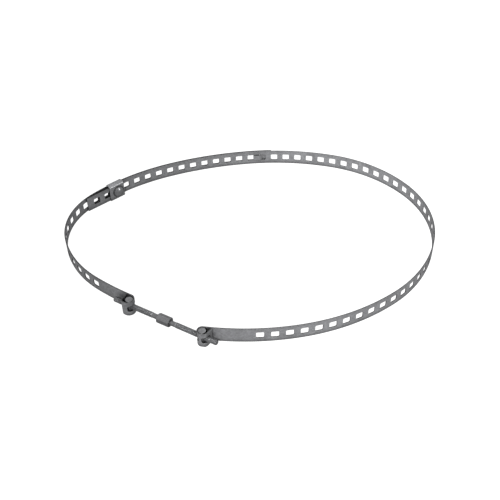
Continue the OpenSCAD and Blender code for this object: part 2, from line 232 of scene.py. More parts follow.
def new_piece(name, points, face_blocks, sharp_degrees):
    """An object at the origin with its place in its mesh. Faces come in blocks, one
    array for each number of corners."""
    mesh = bpy.data.meshes.new(name)
    faces = [face for block in face_blocks for face in block.tolist()]
    mesh.from_pydata(points.tolist(), [], faces)
    mesh.shade_smooth()
    mesh.set_sharp_from_angle(angle=math.radians(sharp_degrees))
    piece = bpy.data.objects.new(name, mesh)
    bpy.context.scene.collection.objects.link(piece)
    even_faces(piece)
    print(f"{name}: {len(points)} points, {len(mesh.polygons)} faces")
    return piece


def keep_shade_dull(piece, amount):
    """One number for each point of painted shade and dullness, from 0, none, to 1, full."""
    shade_dull = piece.data.attributes.new("shade_dull", "FLOAT", "POINT")
    shade_dull.data.foreach_set("value", np.clip(amount, 0, 1))


print("sharp from", STRAP_SHARP, "degrees on straps and", BOLT_SHARP, "on fittings")

# %% [markdown]
# ## The line of the hoop
# Both straps were bent along one line in the plan, a chain of arcs. A pose on it is a
# place and a heading. After a length L of a bend with curvature k, the heading has turned
# by kL, and the chord from start to end has the mean heading and the length
# L sin(kL/2) / (kL/2). One formula serves straights and arcs.


# %% Bends
def bend(radius, degrees):
    """An arc as (curvature, length); it turns left with a positive radius."""
    return 1 / radius, radius * math.radians(degrees)


def straight(length):
    """A length without curvature."""
    return 0.0, length


def advance(pose, curvature, length):
    """The pose after a length of one bend, along its chord."""
    x, y, heading = pose
    turn = curvature * length
    chord = length * np.sinc(turn / (2 * np.pi))
    middle = heading + turn / 2
    return x + chord * np.cos(middle), y + chord * np.sin(middle), heading + turn


half_turn = advance((0.0, 0.0, 0.0), *bend(1, 180))
print("half a turn of radius 1 ends at", [round(float(v), 3) for v in half_turn])


# %% Paths
def lay_path(pose, bends):
    """Where each bend of a path begins: its station, its pose and its curvature."""
    stations, poses = [0.0], [pose]
    for curvature, length in bends:
        poses.append(advance(poses[-1], curvature, length))
        stations.append(stations[-1] + length)
    return {"stations": np.array(stations), "poses": np.array(poses),
            "curvatures": np.array([b[0] for b in bends])}


def pose_at(path, station):
    """Poses at many stations at once: each starts from the bend that it lies in."""
    last = len(path["curvatures"]) - 1
    i = np.clip(np.searchsorted(path["stations"], station, side="right") - 1, 0, last)
    into_bend = station - path["stations"][i]
    return advance(path["poses"][i].T, path["curvatures"][i], into_bend)


def path_length(path):
    """The station of a path's end."""
    return path["stations"][-1]


START = (0.0, 0.0, math.radians(-10))
HOOP_BENDS = ((370, 22), (313, 26), (210, 38), (169.5, 48), (210, 39), (359, 22),
              (492, 17), (328, 25), (112.6, 60), (173, 34), (432, 8.9))
HOOP = [bend(*b) for b in HOOP_BENDS]
hoop_line = lay_path(START, HOOP)
print("hoop line:", round(path_length(hoop_line), 2), "mm")


# %% Stretches of a path
def head_of(bends, length):
    """The bends of a path's first stretch of a given length."""
    kept = []
    for curvature, whole in bends:
        if length <= 0:
            break
        kept.append((curvature, min(whole, length)))
        length -= whole
    return kept


def rest_of(bends, length):
    """The bends that follow that stretch."""
    kept = []
    for curvature, whole in bends:
        cut = min(max(length, 0), whole)
        length -= whole
        if cut < whole:
            kept.append((curvature, whole - cut))
    return kept


print("the first 500 mm take", len(head_of(HOOP, 500)), "bends, the rest",
      len(rest_of(HOOP, 500)))

# %% [markdown]
# ## Punched sheet
# A strap is a sheet 25 mm wide and 1.6 mm thick. Its own coordinates are the station s
# along it, the height z across it and the depth d through it, outwards. A punched strap
# is cut into cells, one to a hole. A bevel on the CAD mesh would be shorter to write,
# but where so many small arcs meet it throws spikes. So each cell is made of rings, and
# the long edges are rounded as those of rolled flat bar are.

# %% Sizes of the sheet
STRAP_W, STRAP_T, STRAP_Z, LAP_GAP = 25.0, 1.6, 1.9, 0.1
STRAP_TOP, MID_Z = STRAP_Z + STRAP_W, STRAP_Z + STRAP_W / 2
SHORT_OFF = LAP_GAP + STRAP_T
EDGE_ROUND = 0.45
ARC_STEPS, SIDE_STEPS = 3, 4
ACROSS = 2 * ARC_STEPS + SIDE_STEPS
print(f"depths: long strap {-STRAP_T} to 0 mm, short strap {LAP_GAP} to {SHORT_OFF:.1f} mm")

# %% [markdown]
# ## A hole's outline
# The punched holes are rectangles with round corners, and so are the slots of the eyes.
# One outline serves all: it knows the centre of the corner that each point turns about,
# or a place between two centres, and the way outwards. So it can be grown or shrunk.

# %% Outline of a hole
HOLE = (5.5, 5.1, 1.6)


def quarter(steps):
    """Angles of a quarter turn, ends included."""
    return np.linspace(0, np.pi / 2, steps + 1)


def hole_outline(hole, steps):
    """Anticlockwise round a rounded rectangle, given as (half length, half height,
    corner radius). Grown by g, a point is centre + (radius + g) times direction."""
    half_l, half_h, radius = hole
    reach = np.array([half_l - radius, half_h - radius])
    corners = reach * np.array([[1, -1], [1, 1], [-1, 1], [-1, -1]])
    centres, turns = [], []
    eighth = np.linspace(0, 45, ARC_STEPS + 1)
    for side, count in enumerate((SIDE_STEPS, steps, SIDE_STEPS, steps)):
        share = np.concatenate([np.zeros(ARC_STEPS), np.linspace(0, 1, count + 1),
                                np.ones(ARC_STEPS - 1)])[:, None]
        centres.append(corners[side] * (1 - share) + corners[(side + 1) % 4] * share)
        turns.append(90 * side + np.concatenate([-eighth[:0:-1], np.zeros(count + 1),
                                                 eighth[1:-1]]))
    angle = np.radians(np.concatenate(turns))
    return np.concatenate(centres), np.stack([np.cos(angle), np.sin(angle)], -1)


print("a punched hole:", len(hole_outline(HOLE, SIDE_STEPS)[0]), "points round it")


# %% Grid of a cell
HOLE_PITCH = 20.3


def cell_stations(start, end, hole, steps):
    """Stations of a cell's grid, which keep to those of the hole's straight sides."""
    if hole is None:
        return np.linspace(start, end, steps + 1)
    middle, reach = (start + end) / 2, hole[0] - hole[2]
    low, high = middle - reach, middle + reach
    return np.concatenate([np.linspace(start, low, ARC_STEPS + 1)[:-1],
                           np.linspace(low, high, steps + 1)[:-1],
                           np.linspace(high, end, ARC_STEPS + 1)])


def cell_border(stations, heights):
    """The border of a cell's grid, anticlockwise, with as many points as its hole."""
    along, across = len(stations) - 1, len(heights) - 1
    return np.concatenate([
        np.stack([np.full(across, stations[-1]), heights[:-1]], -1),
        np.stack([stations[:0:-1], np.full(along, heights[-1])], -1),
        np.stack([np.full(across, stations[0]), heights[:0:-1]], -1),
        np.stack([stations[:-1], np.full(along, heights[0])], -1)])


trial_s = cell_stations(0, HOLE_PITCH, HOLE, SIDE_STEPS)
trial_h = np.linspace(0, STRAP_W, ACROSS + 1)
print("its cell:", len(cell_border(trial_s, trial_h)), "points round the border")

# %% [markdown]
# ## Lips of a hole
# The punch pulls the metal down with it on the side that it enters, so that lip is soft
# and wide, and the far lip is nearly sharp. Seen across the sheet, the rings of a cell go
# from its border in to the hole, over the soft lip, through the wall, over the sharp lip
# and back out to the border on the far side.

# %% Cell with a hole
LIP_IN, LIP_OUT = 0.4, 0.15


def lip_profile(inner, outer):
    """How far each ring stands back from the hole, and its depth: a quarter turn of
    LIP_IN from the outer face, then one of LIP_OUT to the inner face."""
    turn = quarter(ARC_STEPS)
    grow = np.concatenate([LIP_IN * (1 - np.sin(turn)), LIP_OUT * (1 - np.cos(turn))])
    depth = np.concatenate([outer - LIP_IN * (1 - np.cos(turn)),
                            inner + LIP_OUT * (1 - np.sin(turn))])
    return grow, depth


def hole_cell(stations, heights, hole, steps, inner, outer):
    """Rings of a cell with a hole, each point as (station, height, depth)."""
    middle_s = (stations[0] + stations[-1]) / 2
    centres, ways = hole_outline(hole, steps)
    border = cell_border(stations, heights)
    grow, depth = lip_profile(inner, outer)
    rings = (centres + (middle_s, MID_Z) + (hole[2] + grow[:, None, None]) * ways)
    rings = np.concatenate([border[None], rings, border[None]])
    depth = np.concatenate([[outer], depth, [inner]])
    depth = np.broadcast_to(depth[:, None, None], rings.shape[:2] + (1,))
    points = np.concatenate([rings, depth], -1)
    return points.reshape(-1, 3), grid_faces(len(rings), len(border), close_columns=True)


print("rings over the lips:", len(lip_profile(-STRAP_T, 0.0)[0]))

# %% [markdown]
# ## Plain faces, edges and ends
# Between the holes both faces are plain grids. Along the strap run its two edges, each
# the same small profile at every station, and a flat cap closes each end. All these
# parts end in the same points as their neighbours.


# %% Faces and edges
def face_grid(stations, profile):
    """A strip along the sheet: each (height, depth) of a profile at every station."""
    s = np.broadcast_to(stations, (len(profile), len(stations)))
    across = np.broadcast_to(profile[:, None, :], s.shape + (2,))
    points = np.concatenate([s[..., None], across], -1)
    return points.reshape(-1, 3), grid_faces(len(profile), len(stations))


def plain_cell(stations, heights, inner, outer):
    """The outer face of a cell without a hole, and its inner face, which runs back."""
    up = np.stack([heights, np.full(len(heights), outer)], -1)
    down = np.stack([heights[::-1], np.full(len(heights), inner)], -1)
    return [face_grid(stations, up), face_grid(stations, down)]


def edge_profile(low, high, inner, outer, edge):
    """The (height, depth) of the rounded upper edge, from the outer face to the inner
    one, and of the lower edge back again."""
    turn = quarter(ARC_STEPS)
    rise, draw = edge * np.sin(turn), edge * (1 - np.cos(turn))
    height = np.concatenate([high - edge + rise, (high - edge + rise)[::-1]])
    depth = np.concatenate([outer - draw, (inner + draw)[::-1]])
    upper = np.stack([height, depth], -1)
    lower = np.stack([low + high - height, inner + outer - depth], -1)
    return upper, lower


def end_caps(stations, heights, upper, lower, inner, outer):
    """One many-sided face at each end, round the whole section of the sheet."""
    plain = len(heights) - 1
    section = np.concatenate([
        np.stack([heights[:-1], np.full(plain, outer)], -1), upper[:-1],
        np.stack([heights[:0:-1], np.full(plain, inner)], -1), lower[:-1]])
    caps = []
    for s, way in ((stations[0], 1), (stations[-1], -1)):
        ring = np.column_stack([np.full(len(section), s), section])[::way]
        caps.append((ring, np.arange(len(section))[None]))
    return caps


strap_edge, _ = edge_profile(STRAP_Z, STRAP_TOP, -STRAP_T, 0.0, EDGE_ROUND)
print("a long edge has", len(strap_edge), "points in its profile")

# %% [markdown]
# ## Sheet to strap
# The parts are put together while the sheet is still flat, where points that belong
# together are equal to a ten-thousandth of a millimetre. Only then is the sheet bent:
# each point goes to the pose at its station, and from there by its depth to the outside
# of the hoop. Shade is painted on the cut edges and in the holes, full there, a quarter
# along the rims and none on the open faces, and the same number dulls them.

# %% Sheet to world
CENTRE = (64.1612, 196.313)
DIGITS = 4
# A quarter of the painted shade and dullness lies in a band along each long edge.
WALL_SHARE, RIM_BAND_SHADE, RIM_EDGES = 0.2, 0.25, 2


def weld(path, parts):
    """One point for each place that parts share, carried from the sheet to the world:
    the pose at s, then depth to the right of its heading, then height."""
    counts = np.cumsum([0] + [len(points) for points, _ in parts])
    sheet = np.round(np.concatenate([points for points, _ in parts]), DIGITS)
    sheet, index = np.unique(sheet, axis=0, return_inverse=True)
    index = index.reshape(-1)
    faces = [index[block + first] for (_, block), first in zip(parts, counts)]
    x, y, heading = pose_at(path, sheet[:, 0])
    depth = sheet[:, 2]
    points = np.stack([x + depth * np.sin(heading) - CENTRE[0],
                       y - depth * np.cos(heading) - CENTRE[1], sheet[:, 1]], -1)
    return points * MM, faces, sheet


def sheet_shade_dull(sheet, inner, outer, low, high, edge):
    """Painted shade and dullness from sheet coordinates: it grows to full just below
    either face, and the faces have a quarter of it near the long edges."""
    half = (outer - inner) / 2
    inside = 1 - np.abs(sheet[:, 2] - inner - half) / half
    to_edge = np.minimum(sheet[:, 1] - low, high - sheet[:, 1])
    return np.maximum(inside / WALL_SHARE, RIM_BAND_SHADE * (to_edge < RIM_EDGES * edge))


middle_of_wall = np.array([[0.0, MID_Z, -STRAP_T / 2]])
print("grime in a hole:", np.clip(sheet_shade_dull(middle_of_wall, -STRAP_T, 0.0, STRAP_Z,
                                              STRAP_TOP, EDGE_ROUND), 0, 1)[0])


# %% Shell of a sheet
def sheet_shell(path, inner, outer, low, high, cells, edge=EDGE_ROUND):
    """Closed sheet along a path: its cells, its two long edges and its two ends, as
    points, faces and the number of painted shade and dullness."""
    heights = np.linspace(low + edge, high - edge, ACROSS + 1)
    grids = [cell_stations(*cell) for cell in cells]
    parts = []
    for s, (_, _, hole, steps) in zip(grids, cells):
        if hole is None:
            parts += plain_cell(s, heights, inner, outer)
        else:
            parts.append(hole_cell(s, heights, hole, steps, inner, outer))
    stations = np.concatenate([s[:-1] for s in grids] + [grids[-1][-1:]])
    upper, lower = edge_profile(low, high, inner, outer, edge)
    parts += [face_grid(stations, upper), face_grid(stations, lower)]
    parts += end_caps(stations, heights, upper, lower, inner, outer)
    points, faces, sheet = weld(path, parts)
    return points, faces, sheet_shade_dull(sheet, inner, outer, low, high, edge)


def strap_piece(name, shells):
    """The shells of one strap as one piece."""
    firsts = np.cumsum([0] + [len(points) for points, _, _ in shells])
    faces = [block + first for (_, blocks, _), first in zip(shells, firsts)
             for block in blocks]
    piece = new_piece(name, np.concatenate([s[0] for s in shells]), faces, STRAP_SHARP)
    keep_shade_dull(piece, np.concatenate([s[2] for s in shells]))
    return piece


trial = sheet_shell(hoop_line, -STRAP_T, 0.0, STRAP_Z, STRAP_TOP,
                    [(0, HOLE_PITCH, HOLE, SIDE_STEPS)])
print("one punched cell as a shell:", len(trial[0]), "points")

# %% [markdown]
# ## The row of holes
# The holes lie at one pitch along the whole hoop, so a hole needs only its number: the
# first is 76.6 mm from the line's start. Between the cells of the holes and those of the
# slots lie plain cells, finer in the eyes, where the sheet is bent sharply.

# %% Cells along a strap
FIRST_HOLE, LAST_HOLE = 76.6, 63
HOOK_HOLE, CLIP_HOLE, TAIL_HOLES = 37, 50, 2
SLOT_HALF_H, SLOT_R, SLOT_MARGIN, SLOT_STEP = 5.0, 3.0, 0.9, 0.8
OPEN_STEP, EYE_STEP = 3.0, 0.7
SAME_PLACE = 1e-6


def hole_station(number):
    """Where a hole's middle lies on the hoop line."""
    return FIRST_HOLE + number * HOLE_PITCH


def blank(start, end, step):
    """A plain cell, its grid no coarser than a step."""
    return start, end, None, max(1, math.ceil((end - start) / step))


def slot(start, end):
    """A cell with a slot that leaves a margin at both ends."""
    shape = ((end - start) / 2, SLOT_HALF_H, SLOT_R)
    steps = math.ceil((end - start) / SLOT_STEP)
    return start - SLOT_MARGIN, end + SLOT_MARGIN, shape, steps


def row(first, last, shift=0.0):
    """One cell for each hole of a row."""
    ends = [hole_station(k) - HOLE_PITCH / 2 + shift for k in range(first, last + 2)]
    return [(a, b, HOLE, SIDE_STEPS) for a, b in zip(ends, ends[1:])]


print("clip bolt's hole at station", hole_station(CLIP_HOLE), "mm")


# %% Plain cells between
def filled(cells, length, fine_from, fine_to):
    """The cells with plain ones in every gap, finer between two stations."""
    taken = {c[0]: c for c in cells}
    ends = {e for c in cells for e in c[:2]}
    marks = sorted({0.0, length, fine_from, fine_to} | ends)
    out = []
    for a, b in zip(marks, marks[1:]):
        inside = any(c[0] < b and a < c[1] for c in cells)
        if a in taken:
            out.append(taken[a])
        elif not inside and b - a > SAME_PLACE:
            out.append(blank(a, b, EYE_STEP if fine_from <= a < fine_to else OPEN_STEP))
    return out


print("two holes in 100 mm make", len(filled(row(0, 1, -60), 100.0, 0.0, 0.0)), "cells")

# %% [markdown]
# ## Long strap
# The long strap begins with the leg of its eye, turns back round the nose and follows
# the hoop line on the inside. Near its end it leaves the line for the clip, by a bend in
# and a bend back. Its eye has two slots, where the tension bolt goes in and comes out.
# The numbers are the CAD source's own, and the print compares the piece with the box of
# its solid.


# %% Compare with the solid
def compare_boxes(piece, node):
    """Largest difference between the box of a piece and that of its CAD node, in mm."""
    points = np.empty(len(piece.data.vertices) * 3)
    piece.data.vertices.foreach_get("co", points)
    points = points.reshape(-1, 3)
    low, high = (np.array(v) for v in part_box(node))
    off = max(np.abs(points.min(0) - low).max(), np.abs(points.max(0) - high).max()) / MM
    print(f"{piece.name} against {node}: boxes differ by {off:.3f} mm")


solid_low, solid_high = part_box("long_strap")
print("the solid long strap takes", [round(v / MM, 1) for v in solid_high - solid_low], "mm")

# %% Long strap
LONG_EYE = [straight(10.2954), bend(-4, -64), straight(2.8), bend(-5.9, -180)]
LONG_LEG_END = (10.6906, -2.18967, math.radians(234))
LONG_SLOTS = ((4.6, 17.5635), (21.1676, 33.8334))
TAIL_START, TAIL_LENGTH = 1069.1, 51.1654
TAIL_BENDS = [bend(40, 20), straight(5), bend(-40, -15), straight(TAIL_LENGTH)]
long_path = lay_path(LONG_LEG_END, LONG_EYE + head_of(HOOP, TAIL_START) + TAIL_BENDS)
long_eye_l = sum(length for _, length in LONG_EYE)
long_cells = filled([slot(*s) for s in LONG_SLOTS]
                    + row(0, CLIP_HOLE + TAIL_HOLES, long_eye_l),
                    path_length(long_path), 0.0, long_eye_l)
long_strap = strap_piece("long_strap_sheet", [
    sheet_shell(long_path, -STRAP_T, 0.0, STRAP_Z, STRAP_TOP, long_cells)])
compare_boxes(long_strap, "long_strap")

# %% [markdown]
# ## Short strap and its hook
# The short strap lies outside the long one and ends in the eye at the front left. Its
# hook is a tongue cut free on three sides and bent inwards through a hole of the long
# strap, so it is a second, narrower sheet that grows out of the window's edge. The
# window runs on into the next hole, and both are one opening here.

# %% Window of the hook
HOOK_ROOT, HOOK_BACK = 826.835, 14.0
HOOK_H, HOOK_EDGE, WINDOW_HALF_H = 9.4, 0.3, 5.0
short_start = HOOK_ROOT - HOOK_BACK
window_end = hole_station(HOOK_HOLE + 1) + HOLE[0] - short_start
window = ((window_end - HOOK_BACK) / 2, WINDOW_HALF_H, HOLE[2])
bridge = HOLE_PITCH / 2 - HOLE[0]
window_cell = (HOOK_BACK - bridge, window_end + bridge, window, 4 * SIDE_STEPS)
print("window:", round(2 * window[0], 2), "by", 2 * WINDOW_HALF_H, "mm")


# %% Short strap
def hoop_pose(station):
    """The pose of the hoop line at one station, as plain numbers."""
    return tuple(float(v) for v in pose_at(hoop_line, station))


SHORT_EYE = [bend(-9.3, -180), straight(1.9), bend(-6.7, -90), straight(9.9)]
SHORT_SLOTS = ((3.57094, 25.4836), (37.7822, 48.8411))
short_path = lay_path(hoop_pose(short_start), rest_of(HOOP, short_start) + SHORT_EYE)
short_eye_at = path_length(hoop_line) - short_start
short_slots = [slot(short_eye_at + a, short_eye_at + b) for a, b in SHORT_SLOTS]
short_row = row(HOOK_HOLE + 2, LAST_HOLE, -short_start)
short_cells = filled([window_cell] + short_row + short_slots, path_length(short_path),
                     short_eye_at, path_length(short_path))
ROOT_IN, HOOK_STEP = 0.5, 0.3
HOOK_BENDS = [straight(ROOT_IN), bend(1, 35), straight(4.96014), bend(-2.7, -33.1782),
              straight(10.5)]
hook_path = lay_path(hoop_pose(HOOK_ROOT - ROOT_IN), HOOK_BENDS)
hook_cells = [blank(0, path_length(hook_path), HOOK_STEP)]
short_strap = strap_piece("short_strap_sheet", [
    sheet_shell(short_path, LAP_GAP, SHORT_OFF, STRAP_Z, STRAP_TOP, short_cells),
    sheet_shell(hook_path, LAP_GAP, SHORT_OFF, MID_Z - HOOK_H / 2, MID_Z + HOOK_H / 2,
                hook_cells, HOOK_EDGE)])
compare_boxes(short_strap, "short_strap")

# %% [markdown]
# ## Turned and threaded pieces
# A bolt is a surface round an axis: a radius that depends on the place along the axis
# and on the angle round it. A plain shank has one radius. A hexagon is half its width
# across flats over the cosine of the angle from the flat's middle. A thread is a ridge
# whose place moves one pitch with each turn. The smallest of such radii gives chamfers
# and corners for free, so each bolt is one closed surface.

# %% Hexagon and thread
PITCH, THREAD_DEPTH = 1.25, 0.68
CREST_HALF, FLANK = 0.09, 0.3
BLUNT = 0.25
ROUND = 72
theta = np.linspace(0, 2 * np.pi, ROUND, endpoint=False)[None, :]
around = np.ones((1, ROUND))


def hexagon(theta, across_flats, phase=0.0):
    """Radius of a hexagon with a corner at angle 0, its corners a little blunt."""
    off_flat = np.mod(theta + phase, np.pi / 3) - np.pi / 6
    corner = across_flats / math.sqrt(3) - BLUNT
    return np.minimum(across_flats / 2 / np.cos(off_flat), corner)


def thread(x, theta, hand):
    """Depth of a rolled thread below its crest. The distance from the crest in pitches
    grows along the axis and falls with the angle; hand is 1, or -1 for a left thread."""
    phase = np.mod(x / PITCH - hand * theta / (2 * np.pi) + 0.5, 1.0) - 0.5
    flank = np.clip((np.abs(phase) - CREST_HALF) / FLANK, 0, 1)
    return THREAD_DEPTH * flank


print("a 13 mm hexagon reaches", round(float(hexagon(theta, 13.0).max()), 2), "mm")


# %% Surface round an axis
UP = np.array([0.0, 0.0, 1.0])


def round_points(x, radius, theta, origin, axis):
    """Points at x along the axis and at a radius in the direction of each angle, which
    turns from straight up towards the axis crossed with up."""
    side = np.cross(axis, UP)
    way = np.cos(theta)[..., None] * UP + np.sin(theta)[..., None] * side
    return (np.asarray(origin) + x[..., None] * axis + radius[..., None] * way) * MM


def closed_round(name, x, radius, origin, axis):
    """A surface round an axis with a pole at each end, the last two of its points."""
    rows, columns = radius.shape
    x = np.broadcast_to(x, radius.shape)
    rings = round_points(x, radius, theta, origin, axis).reshape(-1, 3)
    poles = [(np.asarray(origin) + x[i, 0] * axis) * MM for i in (0, -1)]
    j = np.arange(columns)
    k = (j + 1) % columns
    first, last = rows * columns, rows * columns + 1
    end = (rows - 1) * columns
    faces = [grid_faces(rows, columns, close_columns=True),
             np.stack([np.full(columns, first), k, j], -1),
             np.stack([np.full(columns, last), end + j, end + k], -1)]
    return new_piece(name, np.concatenate([rings, poles]), faces, BOLT_SHARP)


print("angles round an axis:", ROUND)

# %% [markdown]
# ## Tension bolt
# Its two ends have threads of opposite hand, so one turn of the hexagon draws both
# barrels in. Threads are rolled on, and next to the hexagon the bare shank is as thick
# as the blank was. The axis passes through both barrels, whose boxes give it.

# %% Axis of the tension bolt
BOLT_SHIFT = 1.5
barrel = {}
for side in ("left", "right"):
    low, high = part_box(side + "_barrel")
    barrel[side] = (np.array(low) + np.array(high)) / 2 / MM
bolt_axis = barrel["right"] - barrel["left"]
print("barrels are", round(float(np.linalg.norm(bolt_axis)), 2), "mm apart")
bolt_axis /= np.linalg.norm(bolt_axis)
bolt_middle = (barrel["left"] + barrel["right"]) / 2 - BOLT_SHIFT * bolt_axis

# %% Ends and hexagon
BOLT_R, SHANK_R, BARE = 4.0, 3.6, 19.0
END_CHAMFER, RUNOUT = 1.0, 1.5 * PITCH
TURNED_OFF = math.tan(math.radians(30))


def threaded_end(x, end, hand):
    """Radius of a thread that runs out at its bare end and is chamfered at the other.
    x is measured from the bolt's middle."""
    runout = np.clip((np.abs(x) - BARE) / RUNOUT, 0, 1)
    crest = np.clip(SHANK_R + np.abs(x) - BARE, SHANK_R, BOLT_R)
    cone = BOLT_R - END_CHAMFER + end - np.abs(x)
    return np.minimum(crest - thread(x, theta, hand) * runout, cone)


def hexagon_part(x, half, across_flats, chamfer):
    """Radius of a hexagon whose corners are turned off at both ends, at 30 degrees."""
    cone = across_flats / math.sqrt(3) - chamfer + (half - np.abs(x)) / TURNED_OFF
    return np.minimum(hexagon(theta, across_flats), cone)


print("thread runs out over", RUNOUT, "mm")

# %% Tension bolt
BOLT_L, HEX_AF, HEX_HALF, HEX_CHAMFER = 169.923, 13.0, 10.0, 1.2
STEPS_A_PITCH = 7
HEX_SHADE, END_SHADE = 0.7, 0.8
end_x = np.arange(BARE, BOLT_L / 2, PITCH / STEPS_A_PITCH)
end_x = np.append(end_x, BOLT_L / 2)[:, None]
chamfer_x = HEX_HALF - HEX_CHAMFER * TURNED_OFF * np.array([0, .3, .6, 1])
hex_x = np.concatenate([-chamfer_x, [0], chamfer_x[::-1]])[:, None]
flat_x = np.array([[-HEX_HALF]])
bolt_x = np.concatenate([-end_x[::-1], flat_x, hex_x, -flat_x, end_x])
bolt_r = np.concatenate([threaded_end(-end_x[::-1], BOLT_L / 2, -1), SHANK_R * around,
                         hexagon_part(hex_x, HEX_HALF, HEX_AF, HEX_CHAMFER),
                         SHANK_R * around, threaded_end(end_x, BOLT_L / 2, 1)])
tension_bolt = closed_round("threaded_tension_bolt", bolt_x, bolt_r, bolt_middle,
                            bolt_axis)
compare_boxes(tension_bolt, "tension_bolt")
# Painted shade, which also dulls: the hexagon and the bare shank beside it, and the cut
# ends.
hex_shade_part = HEX_SHADE * (np.abs(bolt_x) <= BARE)
end_shade_part = END_SHADE * (np.abs(bolt_x) > BOLT_L / 2 - END_CHAMFER)
bolt_shade_dull = (hex_shade_part + end_shade_part) * around
keep_shade_dull(tension_bolt, np.append(bolt_shade_dull.ravel(), [END_SHADE, END_SHADE]))

# %% [markdown]
# ## Clip bolt
# The clip is held by a carriage bolt: a low dome inside the hoop, where the tank must
# not meet a corner, and a square neck that the clip's square hole keeps from turning.
# A Screw modifier could turn the dome from a curve, but not the square neck. One grid
# takes both: the dome is part of a ball, so its radius at each place is a root of
# squares, and the neck's is half its width over the larger of sine and cosine. A ring of
# painted shadow lies round the dome's rim.

# %% Axis of the clip bolt
CLIP_FOOT = np.array([-216.86, 125.706, MID_Z])
CLIP_HEADING = math.radians(220.442)
WEB_Y, STACK, SEAT_GAP = 3.25, 6.81593, 0.05
clip_axis = np.array([math.sin(CLIP_HEADING), -math.cos(CLIP_HEADING), 0.0])
head_seat = CLIP_FOOT - (WEB_Y + SEAT_GAP) * clip_axis
nut_seat = CLIP_FOOT + (STACK + SEAT_GAP) * clip_axis
print("between head and nut:", round(WEB_Y + STACK + 2 * SEAT_GAP, 2), "mm")

# %% Dome of the clip bolt
HEAD_R, HEAD_H = 10.3, 4.9
DOME_ROWS, DOME_START, RIM_H = 18, 0.02, 0.3
RIM = ((-0.18, 0.22), (-0.06, 0.26), (0.0, 0.4))
dome_r = (HEAD_R ** 2 + HEAD_H ** 2) / (2 * HEAD_H)


def dome(x):
    """Radius of a low dome, part of a ball, that ends at the plane x = 0."""
    return np.sqrt(np.maximum(dome_r ** 2 - (x - dome_r + HEAD_H) ** 2, 0))


dome_x = -HEAD_H + (HEAD_H - RIM_H) * np.linspace(DOME_START, 1, DOME_ROWS) ** 2
rim_x = np.array([x for x, _ in RIM])
rim_r = HEAD_R - np.array([inset for _, inset in RIM])
print("the dome is part of a ball of radius", round(dome_r, 2), "mm")

# %% Clip bolt
CLIP_BOLT_L, NECK_H, NECK_CORNER, NECK_RAMP = 22.1659, 4.0, 5.3, 0.8
RIM_SHADE_REACH, RIM_FULL = 2.6, 2
square = np.minimum(BOLT_R / np.maximum(np.abs(np.cos(theta)), np.abs(np.sin(theta))),
                    NECK_CORNER)
thread_x = np.arange(NECK_H + 1, CLIP_BOLT_L, PITCH / STEPS_A_PITCH)
thread_x = np.append(thread_x, CLIP_BOLT_L)[:, None]
runout = np.clip(thread_x - NECK_H - 1, 0, 1)
end_cone = BOLT_R - END_CHAMFER + CLIP_BOLT_L - thread_x
thread_r = np.minimum(BOLT_R - thread(thread_x, theta, 1) * runout, end_cone)
clip_x = np.concatenate([dome_x, rim_x, [0, NECK_H, NECK_H + NECK_RAMP], thread_x[:, 0]])
clip_r = np.concatenate([dome(dome_x)[:, None] * around, rim_r[:, None] * around, square,
                         square, BOLT_R * around, thread_r])
clip_bolt = closed_round("domed_clip_bolt", clip_x[:, None], clip_r, head_seat, clip_axis)
# A ring of painted shadow round the dome's rim, which also dulls it.
rim_shade_dull = np.clip(RIM_FULL * (clip_r - HEAD_R + RIM_SHADE_REACH) / RIM_SHADE_REACH, 0, 1).ravel()
keep_shade_dull(clip_bolt, np.append(rim_shade_dull, [0, 0]))
compare_boxes(clip_bolt, "clip_bolt")

# %% [markdown]
# ## Clip nut
# A flanged nut holds the bolt on the outside of the hoop, where the photograph can't
# see. It is a grid that closes both ways, as a ring does: out along the flange, over the
# hexagon and back through the bore.

# %% Clip nut
NUT_H, FLANGE_H, NUT_BORE, BORE_MOUTH, MOUTH_H = 8.0, 1.5, 4.05, 4.75, 0.7
FLANGE = ((0, 8.7), (0.15, 8.92), (0.35, 9.0), (0.75, 9.0), (0.95, 8.9), (FLANGE_H, 7.62))
BORE = ((NUT_H, BORE_MOUTH), (NUT_H - MOUTH_H, NUT_BORE), (MOUTH_H, NUT_BORE),
        (0, BORE_MOUTH))


def nut_hexagon(x):
    """The nut's hexagon, a flat towards the floor, its free end turned off."""
    cone = HEX_AF / math.sqrt(3) - HEX_CHAMFER + (NUT_H - x) / TURNED_OFF
    return np.minimum(hexagon(theta, HEX_AF, math.pi / 6), cone)


top_x = NUT_H - HEX_CHAMFER * TURNED_OFF * np.array([1, .66, .33, 0])
nut_rows = ([(x, r * around) for x, r in FLANGE] + [(FLANGE_H, nut_hexagon(FLANGE_H))]
            + [(x, nut_hexagon(x)) for x in top_x] + [(x, r * around) for x, r in BORE])
nut_x = np.array([x for x, _ in nut_rows])[:, None] * around
nut_r = np.concatenate([r for _, r in nut_rows])
nut_points = round_points(nut_x, nut_r, theta, nut_seat, clip_axis).reshape(-1, 3)
clip_nut = new_piece("flanged_clip_nut", nut_points,
                     [grid_faces(len(nut_rows), ROUND, True, True)], BOLT_SHARP)
compare_boxes(clip_nut, "clip_nut")

# %% [markdown]
# ## Barrels and clip
# These solids are right but for their sharp edges. A copy of each is welded, since a CAD
# mesh is loose triangles, its flat faces are joined, and a Bevel modifier breaks the
# edges by half a millimetre or less. On few, long edges this is clean.

# %% Broken edges
SAME_POINT, SAME_PLANE, BEVEL_FROM = 1e-6, 0.4, 40
BEVEL_STEPS = 3


